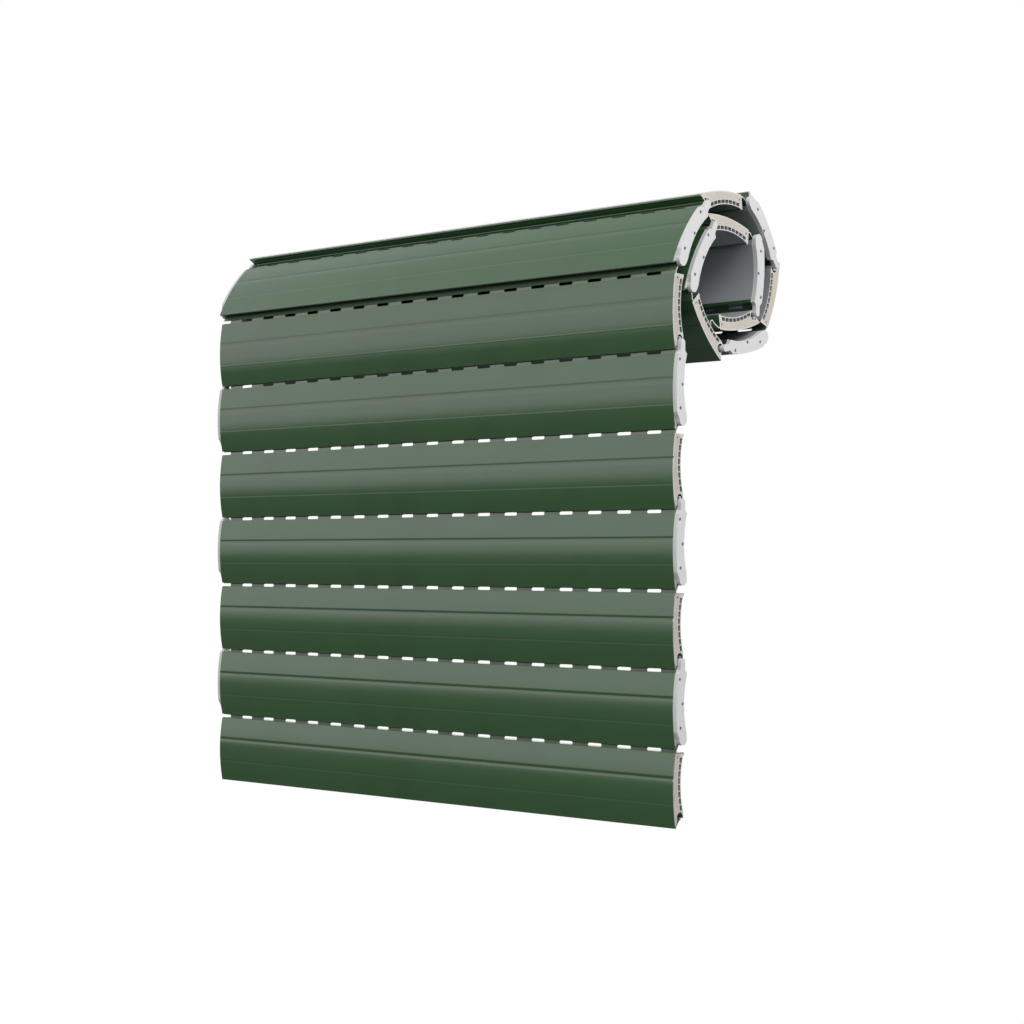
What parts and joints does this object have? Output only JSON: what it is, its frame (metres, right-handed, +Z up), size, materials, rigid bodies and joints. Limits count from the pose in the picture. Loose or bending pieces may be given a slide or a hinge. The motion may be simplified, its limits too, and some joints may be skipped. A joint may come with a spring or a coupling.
{
  "type": "exterior roller shutter",
  "caption": "Part-wound roller shutter curtain of foam-filled hollow slats that hook together on knuckle hinges, with punched light slots and white end caps",
  "frame": {"origin": "on the hinge line between slat 6 and slat 7, where the curtain passes through the box inlet, at the middle of the width", "axes": "+X along the slats, to the right seen from outside; +Y into the building; +Z up"},
  "size_m": [0.47, 0.1366, 0.4513],
  "materials": {
    "painted_aluminium": "satin",
    "filling_foam": "matte",
    "liner_plastic": "satin",
    "cap_plastic": "satin"
  },
  "bodies": {
    "slat_01": {"slat_01_skin": "painted_aluminium", "slat_01_foam": "filling_foam", "slat_01_liner": "liner_plastic"},
    "slat_02": {"slat_02_skin": "painted_aluminium", "slat_02_foam": "filling_foam", "slat_02_liner": "liner_plastic", "slat_02_end_caps": "cap_plastic"},
    "slat_03": {"slat_03_skin": "painted_aluminium", "slat_03_foam": "filling_foam", "slat_03_liner": "liner_plastic"},
    "slat_04": {"slat_04_skin": "painted_aluminium", "slat_04_foam": "filling_foam", "slat_04_liner": "liner_plastic", "slat_04_end_caps": "cap_plastic"},
    "slat_05": {"slat_05_skin": "painted_aluminium", "slat_05_foam": "filling_foam", "slat_05_liner": "liner_plastic"},
    "slat_06": {"slat_06_skin": "painted_aluminium", "slat_06_foam": "filling_foam", "slat_06_liner": "liner_plastic", "slat_06_end_caps": "cap_plastic"},
    "slat_07": {"slat_07_skin": "painted_aluminium", "slat_07_foam": "filling_foam", "slat_07_liner": "liner_plastic"},
    "slat_08": {"slat_08_skin": "painted_aluminium", "slat_08_foam": "filling_foam", "slat_08_liner": "liner_plastic", "slat_08_end_caps": "cap_plastic"},
    "slat_09": {"slat_09_skin": "painted_aluminium", "slat_09_foam": "filling_foam", "slat_09_liner": "liner_plastic"},
    "slat_10": {"slat_10_skin": "painted_aluminium", "slat_10_foam": "filling_foam", "slat_10_liner": "liner_plastic", "slat_10_end_caps": "cap_plastic"},
    "slat_11": {"slat_11_skin": "painted_aluminium", "slat_11_foam": "filling_foam", "slat_11_liner": "liner_plastic"},
    "slat_12": {"slat_12_skin": "painted_aluminium", "slat_12_foam": "filling_foam", "slat_12_liner": "liner_plastic", "slat_12_end_caps": "cap_plastic"},
    "slat_13": {"slat_13_skin": "painted_aluminium", "slat_13_foam": "filling_foam", "slat_13_liner": "liner_plastic"},
    "slat_14": {"slat_14_skin": "painted_aluminium", "slat_14_foam": "filling_foam", "slat_14_liner": "liner_plastic", "slat_14_end_caps": "cap_plastic"},
    "slat_15": {"slat_15_skin": "painted_aluminium", "slat_15_foam": "filling_foam", "slat_15_liner": "liner_plastic"},
    "slat_16": {"slat_16_skin": "painted_aluminium", "slat_16_foam": "filling_foam", "slat_16_liner": "liner_plastic", "slat_16_end_caps": "cap_plastic"},
    "slat_17": {"slat_17_skin": "painted_aluminium", "slat_17_foam": "filling_foam", "slat_17_liner": "liner_plastic"}
  },
  "joints": [
    {"name": "fold_06", "type": "hinge", "parent": "slat_07", "child": "slat_06", "pos_m": [0, 0, 0], "axis": [1, 0, 0], "range_deg": [-2, 45]},
    {"name": "fold_05", "type": "hinge", "parent": "slat_06", "child": "slat_05", "pos_m": [0, 0, -0.055], "axis": [1, 0, 0], "range_deg": [-2, 45]},
    {"name": "fold_04", "type": "hinge", "parent": "slat_05", "child": "slat_04", "pos_m": [0, 0, -0.11], "axis": [1, 0, 0], "range_deg": [-2, 45]},
    {"name": "fold_03", "type": "hinge", "parent": "slat_04", "child": "slat_03", "pos_m": [0, 0, -0.165], "axis": [1, 0, 0], "range_deg": [-2, 45]},
    {"name": "fold_02", "type": "hinge", "parent": "slat_03", "child": "slat_02", "pos_m": [0, 0, -0.22], "axis": [1, 0, 0], "range_deg": [-2, 45]},
    {"name": "fold_01", "type": "hinge", "parent": "slat_02", "child": "slat_01", "pos_m": [0, 0, -0.275], "axis": [1, 0, 0], "range_deg": [-2, 45]},
    {"name": "unwind_08", "type": "hinge", "parent": "slat_07", "child": "slat_08", "pos_m": [0, 0, 0.055], "axis": [1, 0, 0], "range_deg": [0, 36.1]},
    {"name": "unwind_09", "type": "hinge", "parent": "slat_08", "child": "slat_09", "pos_m": [0, 0.03241, 0.09944], "axis": [1, 0, 0], "range_deg": [0, 46.6]},
    {"name": "unwind_10", "type": "hinge", "parent": "slat_09", "child": "slat_10", "pos_m": [0, 0.08696, 0.10643], "axis": [1, 0, 0], "range_deg": [0, 58.8]},
    {"name": "unwind_11", "type": "hinge", "parent": "slat_10", "child": "slat_11", "pos_m": [0, 0.1212, 0.06338], "axis": [1, 0, 0], "range_deg": [0, 57]},
    {"name": "unwind_12", "type": "hinge", "parent": "slat_11", "child": "slat_12", "pos_m": [0, 0.10375, 0.01123], "axis": [1, 0, 0], "range_deg": [0, 57.4]},
    {"name": "unwind_13", "type": "hinge", "parent": "slat_12", "child": "slat_13", "pos_m": [0, 0.0504, -0.00217], "axis": [1, 0, 0], "range_deg": [0, 61.3]},
    {"name": "unwind_14", "type": "hinge", "parent": "slat_13", "child": "slat_14", "pos_m": [0, 0.01303, 0.03818], "axis": [1, 0, 0], "range_deg": [0, 73]},
    {"name": "unwind_15", "type": "hinge", "parent": "slat_14", "child": "slat_15", "pos_m": [0, 0.0407, 0.08572], "axis": [1, 0, 0], "range_deg": [0, 65.6]},
    {"name": "unwind_16", "type": "hinge", "parent": "slat_15", "child": "slat_16", "pos_m": [0, 0.09542, 0.08016], "axis": [1, 0, 0], "range_deg": [0, 86]},
    {"name": "unwind_17", "type": "hinge", "parent": "slat_16", "child": "slat_17", "pos_m": [0, 0.09369, 0.02519], "axis": [1, 0, 0], "range_deg": [0, 77.8]}
  ],
  "couplings": [
    {"joint": "unwind_09", "follows": "unwind_08", "ratio": 1.2909},
    {"joint": "unwind_10", "follows": "unwind_08", "ratio": 1.6288},
    {"joint": "unwind_11", "follows": "unwind_08", "ratio": 1.5789},
    {"joint": "unwind_12", "follows": "unwind_08", "ratio": 1.59},
    {"joint": "unwind_13", "follows": "unwind_08", "ratio": 1.6981},
    {"joint": "unwind_14", "follows": "unwind_08", "ratio": 2.0222},
    {"joint": "unwind_15", "follows": "unwind_08", "ratio": 1.8172},
    {"joint": "unwind_16", "follows": "unwind_08", "ratio": 2.3823},
    {"joint": "unwind_17", "follows": "unwind_08", "ratio": 2.1551}
  ]
}
